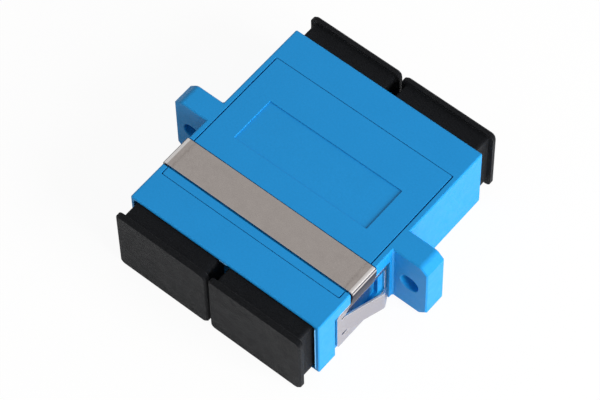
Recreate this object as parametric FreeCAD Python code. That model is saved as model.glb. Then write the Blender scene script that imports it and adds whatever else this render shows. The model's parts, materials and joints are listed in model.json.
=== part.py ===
import FreeCAD, Part
import math
import os

# Duplex adapter for two square push-pull fibre plugs, in millimetres.
# X runs across the two channels, Y along the fibres, Z up out of the label face.
# The origin is the middle of the level that the caps' plates stand on.

# Plugs and channels
port_pitch = 12.7
plug_width = 9.0
plug_height = 7.4
plug_clearance = 0.1
plug_corner = 0.4
key_width = 4.2
key_depth = 0.3

# Housing
body_width = 25.6
body_length = 27.5
roof = 0.85
soft_edge = 0.2
rim_wall = 0.45
rim_lip = 0.22
rim_depth = 1.0
rim_corner = 0.5
mouth_lead = 0.35
tunnel_length = 3.45
chamber_room = 0.4

# Flange ears
screw_spacing = 30.0
screw_hole_diameter = 2.3
screw_hole_chamfer = 0.1
ear_margin = 2.35
ear_thickness = 2.9
ear_chamfer = 0.9
ear_edge_chamfer = 0.15
ear_top_radius = 0.9
ear_root = 0.15

# Cover plate, welded into the top opening
cover_side_border = 0.8
cover_end_border = 4.25
cover_corner = 0.15
cover_side_gap = 0.15
cover_end_gap = 0.07
label_width = 18.1
label_length = 6.0
label_from_middle = 1.75
label_depth = 0.15
label_corner = 0.1

# Spring clip, folded from one sheet
sheet = 0.25
band_width = 3.9
band_from_middle = 6.35
band_bed_depth = 0.45
band_sunk = 0.18
band_bed_front_gap = 0.22
band_bed_back_gap = 0.14
band_bow = 0.08
band_overhang = 0.17
fold_radius = 0.15
crease_drop = 0.23
crease_width = 0.18
crease_depth = 0.07
bed_corner_radius = 0.2
bend_radius = 0.6
shoulder_drop = 0.7
shoulder_slope = 5.0
neck_gap = 0.1
leg_inset = 0.3
leg_bed_gap = 0.05
leg_ahead = 2.0
leg_behind = 2.3
leg_above_floor = 0.3
leg_top_gap = 0.45
leg_corner = 0.3
leg_step_corner = 0.15
window_from_front = 0.7
window_from_back = 0.3
window_low = 1.9
window_high = 6.05
window_step = 0.55
window_step_run = 0.65
window_step_slope = 0.6
window_corner = 0.15
leaf_low = 2.3
leaf_high = 5.2
leaf_bend_run = 0.56
leaf_length = 5.0
leaf_angle = 17.8
leaf_bend_radius = 1.0
knee_radius = 0.3
leaf_tip_length = 0.9
leaf_tip_angle = -24.0
leaf_top_corner = 0.15
leaf_low_corner = 1.1

# Beds in the housing's sides for the legs
bed_front_gap = 0.8
bed_back_gap = 0.1
bed_drop = 1.8
leaf_pocket_depth = 0.45
leaf_pocket_gap = 0.35
leaf_pocket_end_gap = 0.18

# Latch inserts, two back to back in each channel
flange_thickness = 1.2
flange_grip = 0.35
flange_corner = 0.2
insert_gap = 0.08
holder_wall = 0.8
holder_lip = 0.4
arm_thickness = 0.85
arm_height = 3.6
arm_end_gap = 0.75
hook_depth = 0.55
hook_length = 1.1
hook_flat = 0.3

# Split alignment sleeves
sleeve_length = 11.4
sleeve_outer_diameter = 3.2
ferrule_diameter = 2.5
sleeve_slot = 0.4
sleeve_gap = 0.05
sleeve_end_gap = 0.1

# Dust caps
cap_plate_height = 9.6
cap_plate_gap = 0.3
cap_plate_thickness = 0.65
cap_plate_corner = 0.75
cap_standoff = 2.15
cap_neck_width = 11.1
cap_neck_height = 8.7
cap_neck_corner = 0.3
cap_seat_gap = 0.1
cap_plug_gap = 0.05
cap_plug_length = 3.2
cap_plug_nose = 0.4
cap_wall = 0.9
cap_floor = 1.2
cap_edge_chamfer = 0.2

# Worked out from the values above
port_width = plug_width + 2 * plug_clearance
port_height = plug_height + 2 * plug_clearance
body_height = port_height + 2 * roof
middle_height = body_height / 2
cover_width = body_width - 2 * cover_side_border
cover_length = body_length - 2 * cover_end_border
recess_floor = body_length / 2 - rim_depth
tunnel_inner = recess_floor - tunnel_length
chamber_width = port_width + 2 * chamber_room
flange_width = chamber_width + 2 * flange_grip
cap_seat = recess_floor + cap_seat_gap
cap_nose = cap_seat - cap_plug_length
arm_reach = cap_nose - arm_end_gap
half_body = body_width / 2
half_flange = screw_spacing / 2 + ear_margin
leg_outer = half_body - leg_inset
leg_inner = leg_outer - sheet
bed_floor = leg_inner - leg_bed_gap
band_inner = half_body + band_overhang - sheet
band_floor = body_height - band_bed_depth
band_under = body_height - band_sunk
band_front = -band_from_middle - band_width / 2
band_back = -band_from_middle + band_width / 2
band_bed_front = band_front - band_bed_front_gap
band_bed_back = band_back + band_bed_back_gap
leg_front = band_front - leg_ahead
leg_back = band_back + leg_behind
bed_top = body_height - bed_drop
leg_top = bed_top - leg_top_gap
shoulder_top = body_height - shoulder_drop
neck_floor = band_inner - (shoulder_top - bed_top) / shoulder_slope - neck_gap
bed_land = neck_floor - cover_width / 2 - cover_side_gap
bed_corner = min(bed_corner_radius, 0.9 * bed_land)
window_front = leg_front + window_from_front
leaf_bend = window_front + leaf_bend_run
leaf_lean = math.radians(leaf_angle)
leaf_tip_lean = math.radians(leaf_tip_angle)
knee_x = leg_outer + leaf_length * math.sin(leaf_lean)
knee_y = leaf_bend + leaf_length * math.cos(leaf_lean)
leaf_tip_x = knee_x + leaf_tip_length * math.sin(leaf_tip_lean)
leaf_tip_y = knee_y + leaf_tip_length * math.cos(leaf_tip_lean)
holder_bore = sleeve_outer_diameter + 2 * sleeve_gap
holder_diameter = holder_bore + 2 * holder_wall
holder_reach = sleeve_length / 2 + sleeve_end_gap + holder_lip
channels = {"left": -port_pitch / 2, "right": port_pitch / 2}


def block(x0, x1, y0, y1, z0, z1):
    """A box between two corners."""
    corner = FreeCAD.Vector(x0, y0, z0)
    return Part.makeBox(x1 - x0, y1 - y0, z1 - z0, corner)


def corner_cut(before, corner, after, radius):
    """Where a round of this radius leaves and joins the two sides of a corner."""
    back = (before - corner).normalize()
    ahead = (after - corner).normalize()
    half_angle = back.getAngle(ahead) / 2
    run = radius / math.tan(half_angle)
    middle = (back + ahead).normalize()
    depth = radius / math.sin(half_angle) - radius
    return corner + back * run, corner + middle * depth, corner + ahead * run


def rounded_edges(points, radii, closed):
    """Lines through the points, with an arc of the given radius at each corner."""
    count = len(points)
    edges = []
    last = None
    first = None
    for index, point in enumerate(points):
        is_end = not closed and index in (0, count - 1)
        if is_end or radii[index] <= 0:
            entry, leave = point, point
        else:
            entry, crown, leave = corner_cut(points[index - 1], point,
                                             points[(index + 1) % count], radii[index])
        if last is not None and last.distanceToPoint(entry) > 1e-6:
            edges.append(Part.LineSegment(last, entry).toShape())
        if entry is not leave:
            edges.append(Part.Arc(entry, crown, leave).toShape())
        if first is None:
            first = entry
        last = leave
    if closed and last.distanceToPoint(first) > 1e-6:
        edges.append(Part.LineSegment(last, first).toShape())
    return edges


def rectangle_points(x0, x1, z0, z1, y):
    """The corners of an upright rectangle, facing along the fibres."""
    corners = [(x0, z0), (x1, z0), (x1, z1), (x0, z1)]
    return [FreeCAD.Vector(x, y, z) for x, z in corners]


def upright_wire(middle_x, width, height, corner, y):
    """A rounded rectangle across the fibres, centred on the channel's height."""
    points = rectangle_points(middle_x - width / 2, middle_x + width / 2,
                              middle_height - height / 2, middle_height + height / 2, y)
    return Part.Wire(rounded_edges(points, [corner] * 4, True))


def upright_prism(middle_x, width, height, corner, y0, y1):
    """A rounded rectangle across the fibres, drawn out from y0 to y1."""
    face = Part.Face(upright_wire(middle_x, width, height, corner, y0))
    return face.extrude(FreeCAD.Vector(0, y1 - y0, 0))


def flat_prism(x0, x1, y0, y1, corner, z0, z1):
    """A rounded rectangle seen from above, drawn up from z0 to z1."""
    corners = [(x0, y0), (x1, y0), (x1, y1), (x0, y1)]
    points = [FreeCAD.Vector(x, y, z0) for x, y in corners]
    face = Part.Face(Part.Wire(rounded_edges(points, [corner] * 4, True)))
    return face.extrude(FreeCAD.Vector(0, 0, z1 - z0))


def side_prism(x0, x1, corners):
    """An outline seen from the side, from (y, z, corner radius) rows, drawn from x0 to x1."""
    points = [FreeCAD.Vector(x0, y, z) for y, z, radius in corners]
    radii = [radius for y, z, radius in corners]
    face = Part.Face(Part.Wire(rounded_edges(points, radii, True)))
    return face.extrude(FreeCAD.Vector(x1 - x0, 0, 0))


def mirrored_x(shape):
    return shape.mirror(FreeCAD.Vector(0, 0, 0), FreeCAD.Vector(1, 0, 0))


def mirrored_y(shape):
    return shape.mirror(FreeCAD.Vector(0, 0, 0), FreeCAD.Vector(0, 1, 0))


def both_sides(shape):
    return [shape, mirrored_x(shape)]


def both_ends(shape):
    return [shape, mirrored_y(shape)]


def edge_middle(edge):
    return edge.valueAt((edge.FirstParameter + edge.LastParameter) / 2)


def chamfered(shape, size, wanted):
    """Breaks the edges whose middle point passes the test with a flat."""
    edges = [edge for edge in shape.Edges if wanted(edge)]
    return shape.makeChamfer(size, edges)


def ear_root_fillet(side_x, side_y):
    """A small slope up one ear's root, here at the side given by the two signs."""
    root_x = side_x * half_body
    root_y = side_y * ear_thickness / 2
    corners = [(root_x - side_x * ear_root, root_y - side_y * ear_root),
               (root_x - side_x * ear_root, root_y + side_y * ear_root),
               (root_x, root_y + side_y * ear_root), (root_x + side_x * ear_root, root_y),
               (root_x + side_x * ear_root, root_y - side_y * ear_root)]
    points = [FreeCAD.Vector(x, y, ear_edge_chamfer) for x, y in corners]
    face = Part.Face(Part.makePolygon(points + points[:1]))
    return face.extrude(FreeCAD.Vector(0, 0, body_height - 2 * ear_edge_chamfer))


def body_with_ears():
    """The outside of the moulding: a rounded block with a chamfered ear each side."""
    body = block(-half_body, half_body, -body_length / 2, body_length / 2, 0, body_height)
    body = body.makeFillet(soft_edge, body.Edges)
    shoulder = half_flange - ear_chamfer
    outline = [(-shoulder, 0), (shoulder, 0), (half_flange, ear_chamfer),
               (half_flange, body_height - ear_chamfer), (shoulder, body_height),
               (-shoulder, body_height), (-half_flange, body_height - ear_chamfer),
               (-half_flange, ear_chamfer)]
    points = [FreeCAD.Vector(x, -ear_thickness / 2, z) for x, z in outline]
    radii = [0, 0, 0, 0, ear_top_radius, ear_top_radius, 0, 0]
    ears = Part.Face(Part.Wire(rounded_edges(points, radii, True)))
    ears = ears.extrude(FreeCAD.Vector(0, ear_thickness, 0))
    ears = chamfered(ears, ear_edge_chamfer, lambda edge: edge.BoundBox.YLength < 0.01)
    roots = [ear_root_fillet(side_x, side_y) for side_x in (-1, 1) for side_y in (-1, 1)]
    return body.fuse([ears] + roots).removeSplitter()


def port_space(middle_x):
    """One plug opening at the +Y end: tunnel, tapered lead-in and keyway."""
    tunnel = upright_prism(middle_x, port_width, port_height, plug_corner,
                           tunnel_inner - chamber_room, recess_floor)
    mouth = upright_wire(middle_x, port_width + 2 * mouth_lead, port_height + mouth_lead,
                         plug_corner + mouth_lead / 2, recess_floor)
    throat = upright_wire(middle_x, port_width, port_height, plug_corner,
                          recess_floor - mouth_lead)
    lead = Part.makeLoft([throat, mouth], True)
    keyway = block(middle_x - key_width / 2, middle_x + key_width / 2,
                   tunnel_inner, body_length / 2,
                   body_height - roof - plug_corner, body_height - roof + key_depth)
    return [tunnel, lead, keyway]


def chamber_space(middle_x):
    """Room for one channel's inserts, with a slot that holds their flanges."""
    top = body_height - roof
    room = block(middle_x - chamber_width / 2, middle_x + chamber_width / 2,
                 -tunnel_inner, tunnel_inner, roof, top)
    slot_half = flange_thickness + insert_gap
    slot_width = flange_width / 2 + insert_gap
    slot = block(middle_x - slot_width, middle_x + slot_width,
                 -slot_half, slot_half, roof, top)
    return [room, slot]


def cover_space():
    """The rebate that the cover plate drops into."""
    half_x = cover_width / 2 + cover_side_gap
    half_y = cover_length / 2 + cover_end_gap
    return flat_prism(-half_x, half_x, -half_y, half_y, cover_corner,
                      body_height - roof, body_height + 1)


def band_bed():
    """The shallow cut across the top that the clip's band lies in."""
    return block(-body_width, body_width, band_bed_front, band_bed_back,
                 band_floor, body_height + 1)


def leg_bed():
    """The stepped bed in the +X side for one leg, with a pocket behind the leaf."""
    outside = half_body + 1
    front = leg_front - bed_front_gap
    back = leg_back + bed_back_gap
    low_bed = block(bed_floor, outside, front, back, -1, bed_top)
    neck_bed = block(neck_floor, outside, band_bed_front, band_bed_back,
                     bed_top - 1, body_height + 1)
    pocket_front = window_front - leaf_pocket_gap
    pocket_back = leaf_tip_y + leaf_pocket_end_gap
    pocket_low = leaf_low - leaf_pocket_gap
    pocket_high = leaf_high + leaf_pocket_gap
    pocket = side_prism(bed_floor - leaf_pocket_depth, outside,
                        [(pocket_front, pocket_low, leaf_pocket_gap),
                         (pocket_back, pocket_low, leaf_pocket_gap),
                         (pocket_back, pocket_high, leaf_pocket_gap),
                         (pocket_front, pocket_high, leaf_pocket_gap)])
    return [low_bed, neck_bed, pocket]


def screw_hole():
    """The +X ear's hole, with a small chamfer at both faces."""
    half = ear_thickness / 2
    rim = screw_hole_diameter / 2 + screw_hole_chamfer
    outline = [(0, -half), (rim, -half), (rim - screw_hole_chamfer, screw_hole_chamfer - half),
               (rim - screw_hole_chamfer, half - screw_hole_chamfer), (rim, half), (0, half)]
    middle_x = screw_spacing / 2
    points = [FreeCAD.Vector(middle_x + x, y, middle_height) for x, y in outline]
    face = Part.Face(Part.makePolygon(points + points[:1]))
    return face.revolve(FreeCAD.Vector(middle_x, 0, middle_height), FreeCAD.Vector(0, 1, 0), 360)


def housing():
    """The blue moulding that everything else sits in."""
    end_recess = upright_prism(0, body_width - 2 * rim_wall, body_height - 2 * rim_lip,
                               rim_corner, recess_floor, body_length)
    spaces = both_ends(end_recess)
    for middle_x in channels.values():
        for space in port_space(middle_x):
            spaces += both_ends(space)
        spaces += chamber_space(middle_x)
    spaces += [cover_space(), band_bed()]
    for space in leg_bed() + [screw_hole()]:
        spaces += both_sides(space)
    solid = body_with_ears().cut(spaces)

    def is_bed_corner(edge):
        middle = edge_middle(edge)
        return abs(abs(middle.x) - neck_floor) < 0.01 and abs(middle.z - band_floor) < 0.01

    bed_corners = [edge for edge in solid.Edges if is_bed_corner(edge)]
    return solid.makeFillet(bed_corner, bed_corners)


def cover_plate():
    """The welded cover: bed for the band, and a shallow bare label recess."""
    plate = flat_prism(-cover_width / 2, cover_width / 2, -cover_length / 2, cover_length / 2,
                       cover_corner, body_height - roof, body_height)
    label = flat_prism(-label_width / 2, label_width / 2,
                       label_from_middle - label_length / 2,
                       label_from_middle + label_length / 2,
                       label_corner, body_height - label_depth, body_height + 1)
    return plate.cut([band_bed(), label])


def offset_path(points, distance):
    """The same open path, moved sideways in the plane of its first two axes."""
    moved = []
    for index, point in enumerate(points):
        sides = []
        if index > 0:
            sides.append((point - points[index - 1]).normalize())
        if index < len(points) - 1:
            sides.append((points[index + 1] - point).normalize())
        normals = [FreeCAD.Vector(-side.y, side.x, 0) for side in sides]
        bisector = normals[0] + normals[-1]
        bisector.normalize()
        moved.append(point + bisector * (distance / bisector.dot(normals[0])))
    return moved


def turn(before, point, after):
    """The sense of the corner at a point: 1 to the left, -1 to the right."""
    cross = (point - before).cross(after - point)
    return 1 if cross.z > 0 else -1


def sheet_face(flat_points, inside_radii):
    """A bent sheet seen edge on: the path is one face, the other lies to its left."""
    points = [FreeCAD.Vector(u, v, 0) for u, v in flat_points]
    other = offset_path(points, sheet)
    near = [0.0]
    far = [0.0]
    for index in range(1, len(points) - 1):
        sense = turn(points[index - 1], points[index], points[index + 1])
        inside = inside_radii[index - 1]
        near.append(inside + sheet if sense > 0 else inside)
        far.append(inside if sense > 0 else inside + sheet)
    near.append(0.0)
    far.append(0.0)
    side = rounded_edges(points, near, False)
    back = rounded_edges(other, far, False)
    ends = [Part.LineSegment(points[0], other[0]).toShape(),
            Part.LineSegment(points[-1], other[-1]).toShape()]
    wire = Part.Wire(Part.__sortEdges__(side + back + ends))
    return Part.Face(wire)


def bent_sheet(y0, y1):
    """The clip's cross-section, foot to foot over the top, drawn out from y0 to y1."""
    shoulder_low = shoulder_top - (band_inner - leg_inner) * shoulder_slope
    half = [(leg_inner, leg_above_floor), (leg_inner, shoulder_low),
            (band_inner, shoulder_top), (band_inner, band_under)]
    crown = [(0, band_under + band_bow)]
    path = half + crown + [(-x, z) for x, z in reversed(half)]
    path = [(-x, z) for x, z in path]
    radii = [bend_radius, bend_radius, fold_radius]
    crown_radius = half_body * half_body / (2 * band_bow)
    face = sheet_face(path, radii + [crown_radius] + radii[::-1])
    face.rotate(FreeCAD.Vector(0, 0, 0), FreeCAD.Vector(1, 0, 0), 90)
    face.translate(FreeCAD.Vector(0, y0, 0))
    return face.extrude(FreeCAD.Vector(0, y1 - y0, 0))


def clip_outline():
    """What the flat sheet is cut to, seen from the side: band above, leg plate below."""
    above = body_height + 1
    corners = [(leg_front, leg_above_floor, leg_corner), (leg_back, leg_above_floor, leg_corner),
               (leg_back, leg_top, leg_corner), (band_back, leg_top, leg_step_corner),
               (band_back, above, 0), (band_front, above, 0),
               (band_front, leg_top, leg_step_corner), (leg_front, leg_top, leg_corner)]
    return side_prism(-body_width, body_width, corners)


def clip_window():
    """The opening round each leaf, with its slits running to the leaf's root."""
    back = leg_back - window_from_back
    step_high = window_high - window_step
    step_back = window_front + window_step_run
    corners = [(window_front, window_low, window_corner), (back, window_low, window_corner),
               (back, window_high, window_corner),
               (step_back + window_step_slope, window_high, window_corner),
               (step_back, step_high, window_corner), (window_front, step_high, window_corner)]
    return side_prism(-body_width, body_width, corners)


def fold_crease():
    """The fine groove coined along the outside of the +X fold."""
    middle_z = band_under - crease_drop
    outer = band_inner + sheet
    corners = [(outer - crease_depth, middle_z), (outer + crease_depth, middle_z + crease_width),
               (outer + crease_depth, middle_z - crease_width)]
    points = [FreeCAD.Vector(x, band_front - band_width, z) for x, z in corners]
    face = Part.Face(Part.makePolygon(points + points[:1]))
    return face.extrude(FreeCAD.Vector(0, 3 * band_width, 0))


def clip_leaf():
    """The latch leaf, cut from the +X leg and bent out, with its tip turned back in."""
    path = [(leg_outer, window_front - sheet), (leg_outer, leaf_bend), (knee_x, knee_y),
            (leaf_tip_x, leaf_tip_y)]
    face = sheet_face(path, [leaf_bend_radius, knee_radius])
    face.translate(FreeCAD.Vector(0, 0, leaf_low))
    leaf = face.extrude(FreeCAD.Vector(0, 0, leaf_high - leaf_low))
    front = window_front - 2 * sheet
    corners = [(front, leaf_low, 0), (leaf_tip_y, leaf_low, leaf_low_corner),
               (leaf_tip_y, leaf_high, leaf_top_corner), (front, leaf_high, 0)]
    return leaf.common(side_prism(leg_inner - sheet, knee_x + sheet, corners))


def spring_clip():
    """The whole clip as one folded sheet."""
    solid = bent_sheet(leg_front, leg_back).common(clip_outline())
    solid = solid.cut([clip_window()] + both_sides(fold_crease()))
    return solid.fuse(both_sides(clip_leaf())).removeSplitter()


def latch_arm():
    """One arm and hook at +X of a channel on X = 0, pointing to +Y."""
    outer = port_width / 2
    inner = outer - arm_thickness
    hook = inner - hook_depth
    outline = [(outer, 0), (outer, arm_reach), (inner, arm_reach),
               (hook, arm_reach - hook_length), (hook, arm_reach - hook_length - hook_flat),
               (inner, arm_reach - hook_length - 2 * hook_flat), (inner, 0)]
    low = middle_height - arm_height / 2
    points = [FreeCAD.Vector(x, y, low) for x, y in outline]
    face = Part.Face(Part.makePolygon(points + points[:1]))
    return face.extrude(FreeCAD.Vector(0, 0, arm_height))


def latch_insert():
    """The +Y insert of a channel on X = 0: flange, sleeve holder and two arms."""
    bottom = roof + insert_gap
    top = body_height - roof - insert_gap
    start = insert_gap / 2
    flange = flat_prism(-flange_width / 2, flange_width / 2, start, flange_thickness,
                        flange_corner, bottom, top)
    along = FreeCAD.Vector(0, 1, 0)
    middle = FreeCAD.Vector(0, start, middle_height)
    tube = Part.makeCylinder(holder_diameter / 2, holder_reach - start, middle, along)
    bore = Part.makeCylinder(holder_bore / 2, holder_reach - holder_lip,
                             FreeCAD.Vector(0, 0, middle_height), along)
    eye = Part.makeCylinder((ferrule_diameter + sleeve_outer_diameter) / 4, 2 * holder_reach,
                            FreeCAD.Vector(0, 0, middle_height), along)
    arm = latch_arm().cut(block(0, port_width, -1, start, 0, body_height))
    solid = flange.fuse([tube] + both_sides(arm))
    return solid.cut([bore, eye]).removeSplitter()


def sleeve():
    """A split ceramic sleeve on X = 0, with its slot uppermost."""
    start = FreeCAD.Vector(0, -sleeve_length / 2, middle_height)
    along = FreeCAD.Vector(0, 1, 0)
    tube = Part.makeCylinder(sleeve_outer_diameter / 2, sleeve_length, start, along)
    bore = Part.makeCylinder(ferrule_diameter / 2, sleeve_length, start, along)
    slot = block(-sleeve_slot / 2, sleeve_slot / 2, -sleeve_length, sleeve_length,
                 middle_height, middle_height + sleeve_outer_diameter)
    return tube.cut([bore, slot])


def dust_cap(middle_x):
    """A cap for the +Y end: grip plate, neck and hollow plug."""
    plate_inner = body_length / 2 + cap_standoff
    plate_outer = plate_inner + cap_plate_thickness
    plate = upright_prism(middle_x, port_pitch - cap_plate_gap, cap_plate_height,
                          cap_plate_corner, plate_inner, plate_outer)
    plate = chamfered(plate, cap_edge_chamfer,
                      lambda edge: edge.BoundBox.YLength < 0.01 and
                      edge_middle(edge).y > plate_outer - 0.01)
    neck = upright_prism(middle_x, cap_neck_width, cap_neck_height, cap_neck_corner,
                         cap_seat, plate_inner)
    width = port_width - 2 * cap_plug_gap
    height = port_height - 2 * cap_plug_gap
    throat = cap_nose + cap_plug_nose
    plug = upright_prism(middle_x, width, height, plug_corner, throat, cap_seat)
    nose_face = upright_wire(middle_x, width - cap_plug_nose, height - cap_plug_nose,
                             plug_corner, cap_nose)
    taper = Part.makeLoft([nose_face, upright_wire(middle_x, width, height, plug_corner, throat)],
                          True)
    half_width = width / 2 - cap_wall
    half_height = height / 2 - cap_wall
    hollow = block(middle_x - half_width, middle_x + half_width, cap_nose - 1,
                   plate_outer - cap_floor, middle_height - half_height,
                   middle_height + half_height)
    solid = plate.fuse([neck, plug, taper])
    return solid.cut(hollow).removeSplitter()


def build_parts():
    """Every piece under its node's name."""
    parts = {"housing": housing(), "cover_plate": cover_plate(), "spring_clip": spring_clip()}
    front_insert = mirrored_y(latch_insert())
    back_insert = latch_insert()
    for side, middle_x in channels.items():
        shift = FreeCAD.Vector(middle_x, 0, 0)
        parts[side + "_sleeve"] = sleeve().translated(shift)
        parts[side + "_front_insert"] = front_insert.translated(shift)
        parts[side + "_back_insert"] = back_insert.translated(shift)
        back_cap = dust_cap(middle_x)
        parts[side + "_back_cap"] = back_cap
        parts[side + "_front_cap"] = mirrored_y(back_cap)
    return parts


os.makedirs("parts", exist_ok=True)
lift = FreeCAD.Vector(0, 0, cap_plate_height / 2 - middle_height)
for name, shape in build_parts().items():
    shape = shape.Solids[0] if len(shape.Solids) == 1 else shape
    shape = shape.translated(lift)
    print(name, len(shape.Solids), round(shape.Volume, 2), shape.isValid())
    shape.exportStep("parts/" + name + ".step")
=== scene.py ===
import bpy
import json
import math
from mathutils import Matrix, Vector


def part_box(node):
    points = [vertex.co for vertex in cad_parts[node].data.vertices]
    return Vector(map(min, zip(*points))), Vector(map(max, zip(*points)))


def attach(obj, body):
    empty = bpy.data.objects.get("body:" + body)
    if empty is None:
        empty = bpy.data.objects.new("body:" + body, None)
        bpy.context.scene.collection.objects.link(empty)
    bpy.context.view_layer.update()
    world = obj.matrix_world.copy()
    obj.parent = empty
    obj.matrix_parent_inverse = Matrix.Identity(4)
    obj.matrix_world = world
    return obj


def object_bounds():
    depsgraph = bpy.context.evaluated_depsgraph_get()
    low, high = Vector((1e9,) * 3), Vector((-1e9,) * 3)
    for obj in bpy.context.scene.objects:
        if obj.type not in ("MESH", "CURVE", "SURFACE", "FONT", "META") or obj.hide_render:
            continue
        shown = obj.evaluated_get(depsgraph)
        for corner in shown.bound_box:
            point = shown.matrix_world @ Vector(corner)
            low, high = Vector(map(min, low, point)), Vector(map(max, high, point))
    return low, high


MILLIMETRE = 0.001

# The photograph's frame, in pixels, and the camera that was fitted to it, in metres and degrees.
FRAME_WIDTH = 600
SENSOR_WIDTH = 36.0
FOCAL_PIXELS = 3103.6
CAMERA_AZIMUTH = 40.74
CAMERA_ELEVATION = 58.18
CAMERA_ROLL = -1.46
CAMERA_DISTANCE = 0.3316
CAMERA_TARGET = Vector((-0.00048, -0.00070, 0.00480))
CLIP_START = 0.01
CLIP_END = 10.0

# The floor, in metres, and the studio round it, with how white each shows to the camera and in
# glossy surfaces.
WHITE = (1.0, 1.0, 1.0, 1.0)
FLOOR_SIZE = 1.2
FLOOR_PAPER = (0.95, 0.95, 0.95, 1.0)
FLOOR_TO_CAMERA = 0.93
FLOOR_TO_GLOSS = 0.15
STUDIO_COLOUR = (1.0, 0.975, 0.945, 1.0)
STUDIO_STRENGTH = 0.47
WORLD_TO_CAMERA = 1.0
WORLD_TO_GLOSS = 0.17

# How far the lamps stand off, in metres.
LAMP_DISTANCE = 0.5

# How many rays find an edge for its rounded shading.
EDGE_SAMPLES = 8

# The stretch of a noise's 0 to 1 range that holds nearly all its values.
NOISE_LOW = 0.3
NOISE_HIGH = 0.7

# How coarse the patterns in moulded plastic are.
PLASTIC_DRIFT = 4.0 * MILLIMETRE
PLASTIC_SPECKLE = 0.22 * MILLIMETRE
RUBBED_PATCH = 1.3 * MILLIMETRE
GLOSS_PATCH = 0.9 * MILLIMETRE

# How coarse the patterns in the rolled strip are.
STRIP_DRIFT = 1.2 * MILLIMETRE
STRIP_SPECKLE = 0.11 * MILLIMETRE
STRIP_GRAIN = 0.05 * MILLIMETRE
ROLLING_LINE = 0.06 * MILLIMETRE
PRESSED_SPECKLE = 0.16 * MILLIMETRE

# Heights on the clip, from the floor up: its neck, the crease in the fold and the band's top.
NECK_LOW = 6.15 * MILLIMETRE
NECK_TOP = 9.15 * MILLIMETRE
CREASE = 9.40 * MILLIMETRE
BAND_TOP = 9.60 * MILLIMETRE

# Distances out from the clip's middle: the press marks, where the fold starts and its outside.
PRESS_MARK = 11.75 * MILLIMETRE
FOLD_START = 12.38 * MILLIMETRE
FOLD_OUTSIDE = 12.97 * MILLIMETRE

# Along the fibres: the band's two edges, and the root and the knee of the leaves.
BAND_FRONT = -8.30 * MILLIMETRE
BAND_BACK = -4.40 * MILLIMETRE
LEAF_ROOT = -9.00 * MILLIMETRE
LEAF_KNEE = -4.30 * MILLIMETRE

# The step in which the press stripes, the painted shade and the painted highlights on the clip fade
# in and out.
FADE = 0.01 * MILLIMETRE

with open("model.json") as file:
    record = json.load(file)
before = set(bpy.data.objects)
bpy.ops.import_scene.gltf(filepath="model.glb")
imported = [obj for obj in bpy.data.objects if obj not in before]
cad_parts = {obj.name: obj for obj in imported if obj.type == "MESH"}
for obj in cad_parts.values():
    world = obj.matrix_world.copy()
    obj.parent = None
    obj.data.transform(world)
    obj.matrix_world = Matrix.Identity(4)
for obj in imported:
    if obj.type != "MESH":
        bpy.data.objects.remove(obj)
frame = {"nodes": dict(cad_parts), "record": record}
cad_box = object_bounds()


def link(material, source, target):
    """Joins one socket to another."""
    material.node_tree.links.new(source, target)


def new_material(name):
    """A material that holds its shader and nothing else."""
    material = bpy.data.materials.new(name)
    material.use_nodes = True
    nodes = material.node_tree.nodes
    nodes.clear()
    output = nodes.new("ShaderNodeOutputMaterial")
    shader = nodes.new("ShaderNodeBsdfPrincipled")
    link(material, shader.outputs["BSDF"], output.inputs["Surface"])
    return material, shader


def object_coordinates(material, scale=(1.0, 1.0, 1.0)):
    """The piece's own coordinates, in metres, stretched by scale."""
    nodes = material.node_tree.nodes
    coordinates = nodes.new("ShaderNodeTexCoord")
    mapping = nodes.new("ShaderNodeMapping")
    mapping.inputs["Scale"].default_value = scale
    link(material, coordinates.outputs["Object"], mapping.inputs["Vector"])
    return mapping.outputs["Vector"]


def parts_of(material, vector):
    """The X, Y and Z sockets of a vector."""
    axes = material.node_tree.nodes.new("ShaderNodeSeparateXYZ")
    link(material, vector, axes.inputs["Vector"])
    return axes.outputs["X"], axes.outputs["Y"], axes.outputs["Z"]


def from_middle(material, x):
    """How far out from the middle, on either side."""
    node = material.node_tree.nodes.new("ShaderNodeMath")
    node.operation = "ABSOLUTE"
    link(material, x, node.inputs[0])
    return node.outputs["Value"]


def math_node(material, operation, *values):
    """One operation on values, each a socket or a number, with a result kept between 0 and 1."""
    node = material.node_tree.nodes.new("ShaderNodeMath")
    node.operation = operation
    node.use_clamp = True
    for socket, value in zip(node.inputs, values):
        if isinstance(value, float):
            socket.default_value = value
        else:
            link(material, value, socket)
    return node.outputs["Value"]


def product(material, first, second):
    """Two shares multiplied, each a socket or a number, kept between 0 and 1."""
    return math_node(material, "MULTIPLY", first, second)


def added(material, value, *shares):
    """The value with each (socket, weight) added to it in turn."""
    for socket, weight in shares:
        value = math_node(material, "ADD", value, product(material, socket, weight))
    return value


def mixed(material, share, first, second):
    """The first colour, turned into the second by a 0 to 1 share."""
    node = material.node_tree.nodes.new("ShaderNodeMix")
    node.data_type = "RGBA"
    link(material, share, node.inputs["Factor"])
    for socket, value in ((node.inputs["A"], first), (node.inputs["B"], second)):
        if isinstance(value, tuple):
            socket.default_value = (*value, 1.0)
        else:
            link(material, value, socket)
    return node.outputs["Result"]


def noise(material, vector, grain, detail=2.0, roughness=0.5):
    """Noise whose grain is given in metres."""
    node = material.node_tree.nodes.new("ShaderNodeTexNoise")
    node.inputs["Scale"].default_value = 1.0 / grain
    node.inputs["Detail"].default_value = detail
    node.inputs["Roughness"].default_value = roughness
    link(material, vector, node.inputs["Vector"])
    return node.outputs["Fac"]


def blend_of_noise(material, fine, coarse, fine_share):
    """Two noises in one, by the fine one's share."""
    rest = product(material, coarse, 1.0 - fine_share)
    return math_node(material, "MULTIPLY_ADD", fine, fine_share, rest)


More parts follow.
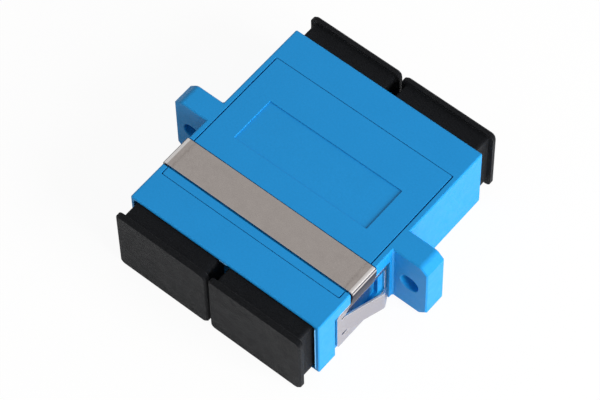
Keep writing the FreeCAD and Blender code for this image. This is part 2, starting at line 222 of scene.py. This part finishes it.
def spread(material, value, low, high):
    """A noise turned into the range low to high."""
    node = material.node_tree.nodes.new("ShaderNodeMapRange")
    node.inputs["From Min"].default_value = NOISE_LOW
    node.inputs["From Max"].default_value = NOISE_HIGH
    node.inputs["To Min"].default_value = low
    node.inputs["To Max"].default_value = high
    link(material, value, node.inputs["Value"])
    return node.outputs["Result"]


def two_tone(material, value, dark, light):
    """A noise turned into a colour between dark and light."""
    node = material.node_tree.nodes.new("ShaderNodeValToRGB")
    first, second = node.color_ramp.elements
    first.position = NOISE_LOW
    first.color = (*dark, 1.0)
    second.position = NOISE_HIGH
    second.color = (*light, 1.0)
    link(material, value, node.inputs["Fac"])
    return node.outputs["Color"]


def graded(material, value, *rows):
    """A length turned into a 0 to 1 share, from rising rows of (length, share)."""
    nodes = material.node_tree.nodes
    low, high = rows[0][0], rows[-1][0]
    along = nodes.new("ShaderNodeMapRange")
    along.inputs["From Min"].default_value = low
    along.inputs["From Max"].default_value = high
    link(material, value, along.inputs["Value"])
    ramp = nodes.new("ShaderNodeValToRGB")
    stops = ramp.color_ramp.elements
    while len(stops) < len(rows):
        stops.new(1.0)
    for stop, (level, share) in zip(stops, rows):
        stop.position = (level - low) / (high - low)
        stop.color = (share, share, share, 1.0)
    link(material, along.outputs["Result"], ramp.inputs["Fac"])
    return ramp.outputs["Color"]


def bump(material, height, distance, strength, normal):
    """A relief of this height, on top of a normal."""
    node = material.node_tree.nodes.new("ShaderNodeBump")
    node.inputs["Distance"].default_value = distance
    node.inputs["Strength"].default_value = strength
    link(material, height, node.inputs["Height"])
    link(material, normal, node.inputs["Normal"])
    return node.outputs["Normal"]


def broken_edges(material, radius):
    """Shading that rounds the sharp edges by a small radius."""
    node = material.node_tree.nodes.new("ShaderNodeBevel")
    node.samples = EDGE_SAMPLES
    node.inputs["Radius"].default_value = radius
    return node.outputs["Normal"]


def edge_mask(material, rounded, gain):
    """1 along sharp edges, where the rounded normal leaves the face's own, and 0 elsewhere."""
    nodes = material.node_tree.nodes
    face = nodes.new("ShaderNodeNewGeometry")
    dot = nodes.new("ShaderNodeVectorMath")
    dot.operation = "DOT_PRODUCT"
    link(material, rounded, dot.inputs[0])
    link(material, face.outputs["Normal"], dot.inputs[1])
    leaning = math_node(material, "SUBTRACT", 1.0, dot.outputs["Value"])
    return product(material, leaning, gain)


def rubbed_edges_and_glints(material, vector, rounded, rub):
    """1 along the edges in patches, where wear and a painted highlight lighten them, and 0 elsewhere.
    """
    along_edges = edge_mask(material, rounded, gain=3.4)
    along_edges = math_node(material, "POWER", along_edges, rub)
    patches = noise(material, vector, RUBBED_PATCH, detail=4.0, roughness=0.6)
    return product(material, along_edges, spread(material, patches, 0.15, 1.0))


def moulded_plastic(name, dark, light, roughness, grain, relief, edge, specular, worn_and_glint,
                    rub=2.0, bloom=0.0, tint=(1.0, 1.0, 1.0)):
    """Moulded plastic: faint drift and grain, uneven gloss, a matt bloom, and edges that are
    lightened by wear and a painted highlight all along, or with a higher rub only at their corners."""
    material, shader = new_material(name)
    vector = object_coordinates(material)
    rounded = broken_edges(material, edge)
    wear_and_glint = rubbed_edges_and_glints(material, vector, rounded, rub)

    drift = noise(material, vector, PLASTIC_DRIFT, detail=3.0)
    speckle = noise(material, vector, PLASTIC_SPECKLE)
    shade = blend_of_noise(material, speckle, drift, fine_share=0.7)
    tone = two_tone(material, shade, dark, light)
    # Lighter colour along the edges: wear, and partly a painted highlight.
    link(material, mixed(material, wear_and_glint, tone, worn_and_glint), shader.inputs["Base Color"])

    gloss = noise(material, vector, GLOSS_PATCH, detail=4.0)
    matt = spread(material, gloss, roughness - 0.05, roughness + 0.06)
    polish = product(material, wear_and_glint, 0.2)
    link(material, math_node(material, "SUBTRACT", matt, polish), shader.inputs["Roughness"])

    texture = noise(material, vector, grain, detail=3.0, roughness=0.65)
    normal = bump(material, texture, relief, 1.0, rounded)
    link(material, normal, shader.inputs["Normal"])
    shader.inputs["Specular IOR Level"].default_value = specular
    shader.inputs["Specular Tint"].default_value = (*tint, 1.0)
    shader.inputs["Sheen Weight"].default_value = bloom
    shader.inputs["Sheen Tint"].default_value = (*tint, 1.0)
    return material


def blue_moulding():
    return moulded_plastic(
        "blue_moulding", dark=(0.0060, 0.243, 0.590), light=(0.0085, 0.269, 0.650),
        roughness=0.47, grain=0.10 * MILLIMETRE, relief=0.003 * MILLIMETRE,
        edge=0.07 * MILLIMETRE, specular=0.32, worn_and_glint=(0.022, 0.33, 0.72))


def black_moulding():
    return moulded_plastic(
        "black_moulding", dark=(0.0016, 0.0019, 0.0026), light=(0.0052, 0.0058, 0.0070),
        roughness=0.50, grain=0.17 * MILLIMETRE, relief=0.20 * MILLIMETRE,
        edge=0.07 * MILLIMETRE, specular=0.12, worn_and_glint=(0.14, 0.14, 0.15),
        rub=4.0, bloom=0.04, tint=(0.88, 0.92, 1.0))


def white_moulding():
    return moulded_plastic(
        "white_moulding", dark=(0.78, 0.76, 0.69), light=(0.84, 0.82, 0.75),
        roughness=0.40, grain=0.12 * MILLIMETRE, relief=0.002 * MILLIMETRE,
        edge=0.05 * MILLIMETRE, specular=0.5, worn_and_glint=(0.86, 0.85, 0.80))


def pale_flash_and_highlight():
    # A pale blue, lighter than the housing, that is partly a painted highlight along the recess edge.
    return moulded_plastic(
        "pale_flash_and_highlight", dark=(0.12, 0.42, 0.70), light=(0.22, 0.52, 0.78),
        roughness=0.30, grain=0.10 * MILLIMETRE, relief=0.002 * MILLIMETRE,
        edge=0.01 * MILLIMETRE, specular=0.5, worn_and_glint=(0.5, 0.7, 0.85))


def sintered_ceramic():
    """Polished zirconia with the faintest milky mottle."""
    material, shader = new_material("sintered_ceramic")
    vector = object_coordinates(material)
    mottle = noise(material, vector, 0.6 * MILLIMETRE, detail=3.0)
    tone = two_tone(material, mottle, dark=(0.84, 0.83, 0.79), light=(0.90, 0.89, 0.86))
    link(material, tone, shader.inputs["Base Color"])
    link(material, spread(material, mottle, 0.10, 0.18), shader.inputs["Roughness"])
    return material


def within_band(material, y):
    """1 between the band's two edges and 0 beyond them, along the fibres."""
    return graded(material, y,
                  (BAND_FRONT - 6 * FADE, 0.0), (BAND_FRONT - 3 * FADE, 1.0),
                  (BAND_BACK + 3 * FADE, 1.0), (BAND_BACK + 6 * FADE, 0.0))


def painted_crease_and_neck_shade(material, out, y, height):
    """Painted shade in the crease of each fold, and a painted dark reflection on the neck under it.
    """
    down = graded(material, height,
                  (NECK_LOW, 0.0), (NECK_LOW + 15 * FADE, 0.90),
                  (NECK_TOP, 1.0), (NECK_TOP + 4 * FADE, 0.30),
                  (CREASE - 7 * FADE, 0.20), (CREASE - 4 * FADE, 1.0),
                  (CREASE + 3 * FADE, 1.0), (CREASE + 6 * FADE, 0.0),
                  (BAND_TOP + 10 * FADE, 0.0))
    beyond = graded(material, out,
                    (0.0, 0.0), (FOLD_START, 0.0),
                    (FOLD_START + 5 * FADE, 1.0), (FOLD_OUTSIDE + 20 * FADE, 1.0))
    return product(material, down, product(material, beyond, within_band(material, y)))


def press_marks(material, vector, out, height):
    """Two faint stripes across the band, where the tool pressed it beside each fold."""
    half = 0.28 * MILLIMETRE
    stripe = graded(material, out,
                    (0.0, 0.0), (PRESS_MARK - half, 0.0), (PRESS_MARK, 1.0),
                    (PRESS_MARK + half, 0.0), (FOLD_OUTSIDE + half, 0.0))
    speckle = spread(material, noise(material, vector, PRESSED_SPECKLE), 0.0, 0.42)
    top = graded(material, height, (0.0, 0.0), (CREASE, 0.0), (BAND_TOP, 1.0))
    return product(material, product(material, stripe, speckle), product(material, top, 3.0))


def painted_fold_highlight(material, out, height):
    """1 over the outside of each fold, where a highlight is painted, and 0 elsewhere."""
    wide = graded(material, out,
                  (0.0, 0.0), (FOLD_START, 0.0),
                  (FOLD_START + 8 * FADE, 1.0), (FOLD_OUTSIDE + 20 * FADE, 1.0))
    high = graded(material, height,
                  (0.0, 0.0), (NECK_TOP, 0.0), (NECK_TOP + 4 * FADE, 0.3),
                  (CREASE, 1.0), (BAND_TOP, 1.0))
    return product(material, wide, high)


def painted_cut_edge_highlight(material, y, height):
    """1 on the sheared edges that face up on the leaves, where a highlight is painted, and 0
    elsewhere.
    """
    face = material.node_tree.nodes.new("ShaderNodeNewGeometry")
    upward = parts_of(material, face.outputs["True Normal"])[2]
    upward = product(material, math_node(material, "SUBTRACT", upward, 0.5), 4.0)
    low = graded(material, height,
                 (0.0, 1.0), (NECK_LOW, 1.0), (NECK_LOW + 50 * FADE, 0.0), (BAND_TOP, 0.0))
    along = graded(material, y,
                   (LEAF_ROOT - 15 * FADE, 0.0), (LEAF_ROOT, 1.0),
                   (LEAF_KNEE - 15 * FADE, 1.0), (LEAF_KNEE, 0.0))
    return product(material, upward, product(material, low, along))


def strip_tone_with_painted_tint(material, vector, height):
    """The strip's grey: warm on the band, and a painted reflection tint, cooler, down on the legs."""
    legs_reflection_tint = (0.587, 0.560, 0.608)
    drift = noise(material, vector, STRIP_DRIFT, detail=5.0, roughness=0.7)
    speckle = noise(material, vector, STRIP_SPECKLE)
    shade = blend_of_noise(material, speckle, drift, fine_share=0.6)
    tone = two_tone(material, shade, dark=(0.490, 0.447, 0.430), light=(0.620, 0.570, 0.546))
    # Painted reflection: a cooler grey on the legs below the neck.
    below = graded(material, height,
                   (0.0, 0.6), (NECK_LOW, 0.6), (NECK_LOW + MILLIMETRE, 0.0), (BAND_TOP, 0.0))
    return mixed(material, below, tone, legs_reflection_tint)


def rolled_steel():
    """Satin rolled strip: finely speckled, with painted shade in the fold creases, a painted dark
    reflection on the necks and painted highlights on the folds, edges and cuts.
    """
    pressed = (0.17, 0.135, 0.12)
    crease_neck_shade_colour = (0.026, 0.028, 0.040)
    painted_highlight_colour = (0.95, 0.93, 0.93)
    material, shader = new_material("rolled_steel")
    vector = object_coordinates(material)
    x, y, height = parts_of(material, vector)
    out = from_middle(material, x)
    rounded = broken_edges(material, 0.09 * MILLIMETRE)
    # Painted shade in each fold's crease and a painted dark reflection on the neck below it.
    crease_neck_shade = painted_crease_and_neck_shade(material, out, y, height)
    # Painted highlight over the outside of each fold.
    fold = painted_fold_highlight(material, out, height)
    # Painted highlight on the upward cut edges of the leaves.
    cut_highlight = painted_cut_edge_highlight(material, y, height)

    tone = strip_tone_with_painted_tint(material, vector, height)
    tone = mixed(material, press_marks(material, vector, out, height), tone, pressed)
    # The painted shade and painted dark reflection darken the tone here.
    tone = mixed(material, crease_neck_shade, tone, crease_neck_shade_colour)
    # Painted highlights in a near-white colour: along the sharp edges, over the folds and on the cut
    # edges, but not in the painted shade.
    bright = math_node(material, "MAXIMUM", edge_mask(material, rounded, gain=3.0), fold)
    bright = math_node(material, "SUBTRACT", bright, crease_neck_shade)
    bright = math_node(material, "MAXIMUM", bright, cut_highlight)
    link(material, mixed(material, bright, tone, painted_highlight_colour), shader.inputs["Base Color"])

    along_strip = object_coordinates(material, (0.05, 1.0, 0.05))
    lines = noise(material, along_strip, ROLLING_LINE, detail=4.0, roughness=0.7)
    matt = spread(material, lines, 0.20, 0.28)
    matt = added(material, matt, (crease_neck_shade, 0.60), (fold, 0.28), (cut_highlight, 0.25))
    link(material, matt, shader.inputs["Roughness"])

    grain = noise(material, vector, STRIP_GRAIN, detail=3.0, roughness=0.7)
    normal = bump(material, lines, 0.003 * MILLIMETRE, 0.5, rounded)
    normal = bump(material, grain, 0.002 * MILLIMETRE, 0.4, normal)
    link(material, normal, shader.inputs["Normal"])
    # Where shade is painted, the strip is not metallic.
    link(material, math_node(material, "SUBTRACT", 1.0, crease_neck_shade), shader.inputs["Metallic"])
    return material


def dress(slot, material):
    """Gives the nodes in one of the record's material slots this material all over."""
    for part in frame["record"]["subparts"]:
        if part["material_slot"] == slot:
            mesh = frame["nodes"][part["node"]].data
            mesh.materials.clear()
            mesh.materials.append(material)


def dress_all():
    dress("blue_plastic", blue_moulding())
    dress("black_plastic", black_moulding())
    dress("white_plastic", white_moulding())
    dress("spring_steel", rolled_steel())
    dress("zirconia", sintered_ceramic())


def add_fin(name, material, x, z, reach, slimmer):
    """A thin upright fin of flash on the end recess's edge, across x and z and reaching out from
    the housing's front face. Its outer edge is slimmer on each side in X and Z. In millimetres."""
    sink = 0.03
    (x0, x1), (z0, z1) = x, z
    slim_x, slim_z = slimmer
    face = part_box("housing")[0][1] / MILLIMETRE
    root_y = face + sink
    tip_y = face - reach
    root = [(x0, root_y, z0), (x1, root_y, z0), (x1, root_y, z1), (x0, root_y, z1)]
    tip = [(x0 + slim_x, tip_y, z0 + slim_z), (x1 - slim_x, tip_y, z0 + slim_z),
           (x1 - slim_x, tip_y, z1 - slim_z), (x0 + slim_x, tip_y, z1 - slim_z)]
    corners = [Vector(corner) * MILLIMETRE for corner in root + tip]
    ends = [(0, 1, 2, 3), (7, 6, 5, 4)]
    sides = [(i, i + 4, (i + 1) % 4 + 4, (i + 1) % 4) for i in range(4)]
    mesh = bpy.data.meshes.new(name)
    mesh.from_pydata(corners, [], ends + sides)
    mesh.validate()
    mesh.materials.append(material)
    fin = bpy.data.objects.new(name, mesh)
    bpy.context.scene.collection.objects.link(fin)
    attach(fin, "adapter")


def add_flash():
    """Thin fins of flash on the end recess's inner edge, in a pale blue that is partly a painted
    highlight: down its +X side and between the necks.
    """
    material = pale_flash_and_highlight()
    add_fin("rim_flash_highlight_side", material, x=(12.335, 12.375), z=(0.75, 9.00), reach=0.12,
            slimmer=(0.010, 0.15))
    add_fin("rim_flash_highlight_top", material, x=(-0.62, 0.66), z=(9.235, 9.265), reach=0.04,
            slimmer=(0.15, 0.005))


def white_share(owner, to_camera, to_gloss):
    """How much white the camera sees here, and how much a glossy or clear surface does."""
    nodes = owner.node_tree.nodes
    rays = nodes.new("ShaderNodeLightPath")
    mirrored = nodes.new("ShaderNodeMath")
    mirrored.operation = "ADD"
    link(owner, rays.outputs["Is Glossy Ray"], mirrored.inputs[0])
    link(owner, rays.outputs["Is Transmission Ray"], mirrored.inputs[1])
    part = nodes.new("ShaderNodeMath")
    part.operation = "MULTIPLY"
    part.inputs[1].default_value = to_gloss
    link(owner, mirrored.outputs["Value"], part.inputs[0])
    total = nodes.new("ShaderNodeMath")
    total.operation = "MULTIPLY_ADD"
    total.inputs[1].default_value = to_camera
    link(owner, rays.outputs["Is Camera Ray"], total.inputs[0])
    link(owner, part.outputs["Value"], total.inputs[2])
    return total.outputs["Value"]


def make_floor():
    """A plain white floor that shows white to the camera and keeps a soft shadow."""
    bpy.ops.mesh.primitive_plane_add(size=FLOOR_SIZE, location=(0, 0, cad_box[0].z))
    floor = bpy.context.object
    floor.name = "floor"
    material = bpy.data.materials.new("floor_white")
    material.use_nodes = True
    nodes = material.node_tree.nodes
    nodes.clear()
    output = nodes.new("ShaderNodeOutputMaterial")
    paper = nodes.new("ShaderNodeBsdfDiffuse")
    paper.inputs["Color"].default_value = FLOOR_PAPER
    glow = nodes.new("ShaderNodeEmission")
    glow.inputs["Color"].default_value = WHITE
    mix = nodes.new("ShaderNodeMixShader")
    link(material, white_share(material, FLOOR_TO_CAMERA, FLOOR_TO_GLOSS), mix.inputs["Fac"])
    link(material, paper.outputs["BSDF"], mix.inputs[1])
    link(material, glow.outputs["Emission"], mix.inputs[2])
    link(material, mix.outputs["Shader"], output.inputs["Surface"])
    floor.data.materials.append(material)


def make_world():
    """White where the camera sees it, and a warm grey studio otherwise."""
    world = bpy.data.worlds.new("studio")
    bpy.context.scene.world = world
    world.use_nodes = True
    nodes = world.node_tree.nodes
    nodes.clear()
    output = nodes.new("ShaderNodeOutputWorld")
    studio = nodes.new("ShaderNodeBackground")
    studio.inputs["Color"].default_value = STUDIO_COLOUR
    studio.inputs["Strength"].default_value = STUDIO_STRENGTH
    white = nodes.new("ShaderNodeBackground")
    white.inputs["Color"].default_value = WHITE
    white.inputs["Strength"].default_value = 1.0
    mix = nodes.new("ShaderNodeMixShader")
    link(world, white_share(world, WORLD_TO_CAMERA, WORLD_TO_GLOSS), mix.inputs["Fac"])
    link(world, studio.outputs["Background"], mix.inputs[1])
    link(world, white.outputs["Background"], mix.inputs[2])
    link(world, mix.outputs["Shader"], output.inputs["Surface"])


def direction(azimuth, elevation):
    """The unit vector from the object towards a viewer or lamp there, from angles in degrees."""
    a = math.radians(azimuth)
    e = math.radians(elevation)
    return Vector((math.sin(a) * math.cos(e), -math.cos(a) * math.cos(e), math.sin(e)))


def soft_lamp(name, azimuth, elevation, size, power, mirrored):
    """A square area lamp that looks at the object: one that only lights it, or one that is only
    mirrored in it."""
    lamp = bpy.data.lights.new(name, "AREA")
    lamp.size = size
    lamp.energy = power
    holder = bpy.data.objects.new(name, lamp)
    bpy.context.scene.collection.objects.link(holder)
    towards = direction(azimuth, elevation)
    holder.location = towards * LAMP_DISTANCE
    holder.rotation_mode = "QUATERNION"
    holder.rotation_quaternion = (-towards).to_track_quat("-Z", "Y")
    holder.visible_glossy = mirrored
    holder.visible_diffuse = not mirrored


def make_lights():
    """A lamp that lights the +X side, and a wide, weak one that gloss and metal show in its place."""
    soft_lamp("side_lamp", azimuth=90.0, elevation=22.5, size=0.30, power=3.8, mirrored=False)
    soft_lamp("side_mirror", azimuth=112.0, elevation=22.0, size=0.60, power=1.2, mirrored=True)


def make_camera():
    """The photograph's view: focal length, place and roll as fitted."""
    back = direction(CAMERA_AZIMUTH, CAMERA_ELEVATION)
    level = Vector((0, 0, 1)).cross(back).normalized()
    upright = back.cross(level)
    roll = math.radians(CAMERA_ROLL)
    right = level * math.cos(roll) + upright * math.sin(roll)
    up = upright * math.cos(roll) - level * math.sin(roll)
    place = CAMERA_TARGET + back * CAMERA_DISTANCE
    data = bpy.data.cameras.new("camera")
    data.sensor_width = SENSOR_WIDTH
    data.lens = FOCAL_PIXELS / FRAME_WIDTH * SENSOR_WIDTH
    data.clip_start = CLIP_START
    data.clip_end = CLIP_END
    camera = bpy.data.objects.new("camera", data)
    bpy.context.scene.collection.objects.link(camera)
    turn = Matrix((right, up, back)).transposed().to_4x4()
    camera.matrix_world = Matrix.Translation(place) @ turn
    bpy.context.scene.camera = camera


dress_all()
add_flash()
make_floor()
make_world()
make_lights()
make_camera()
bpy.context.scene.view_settings.view_transform = "Standard"
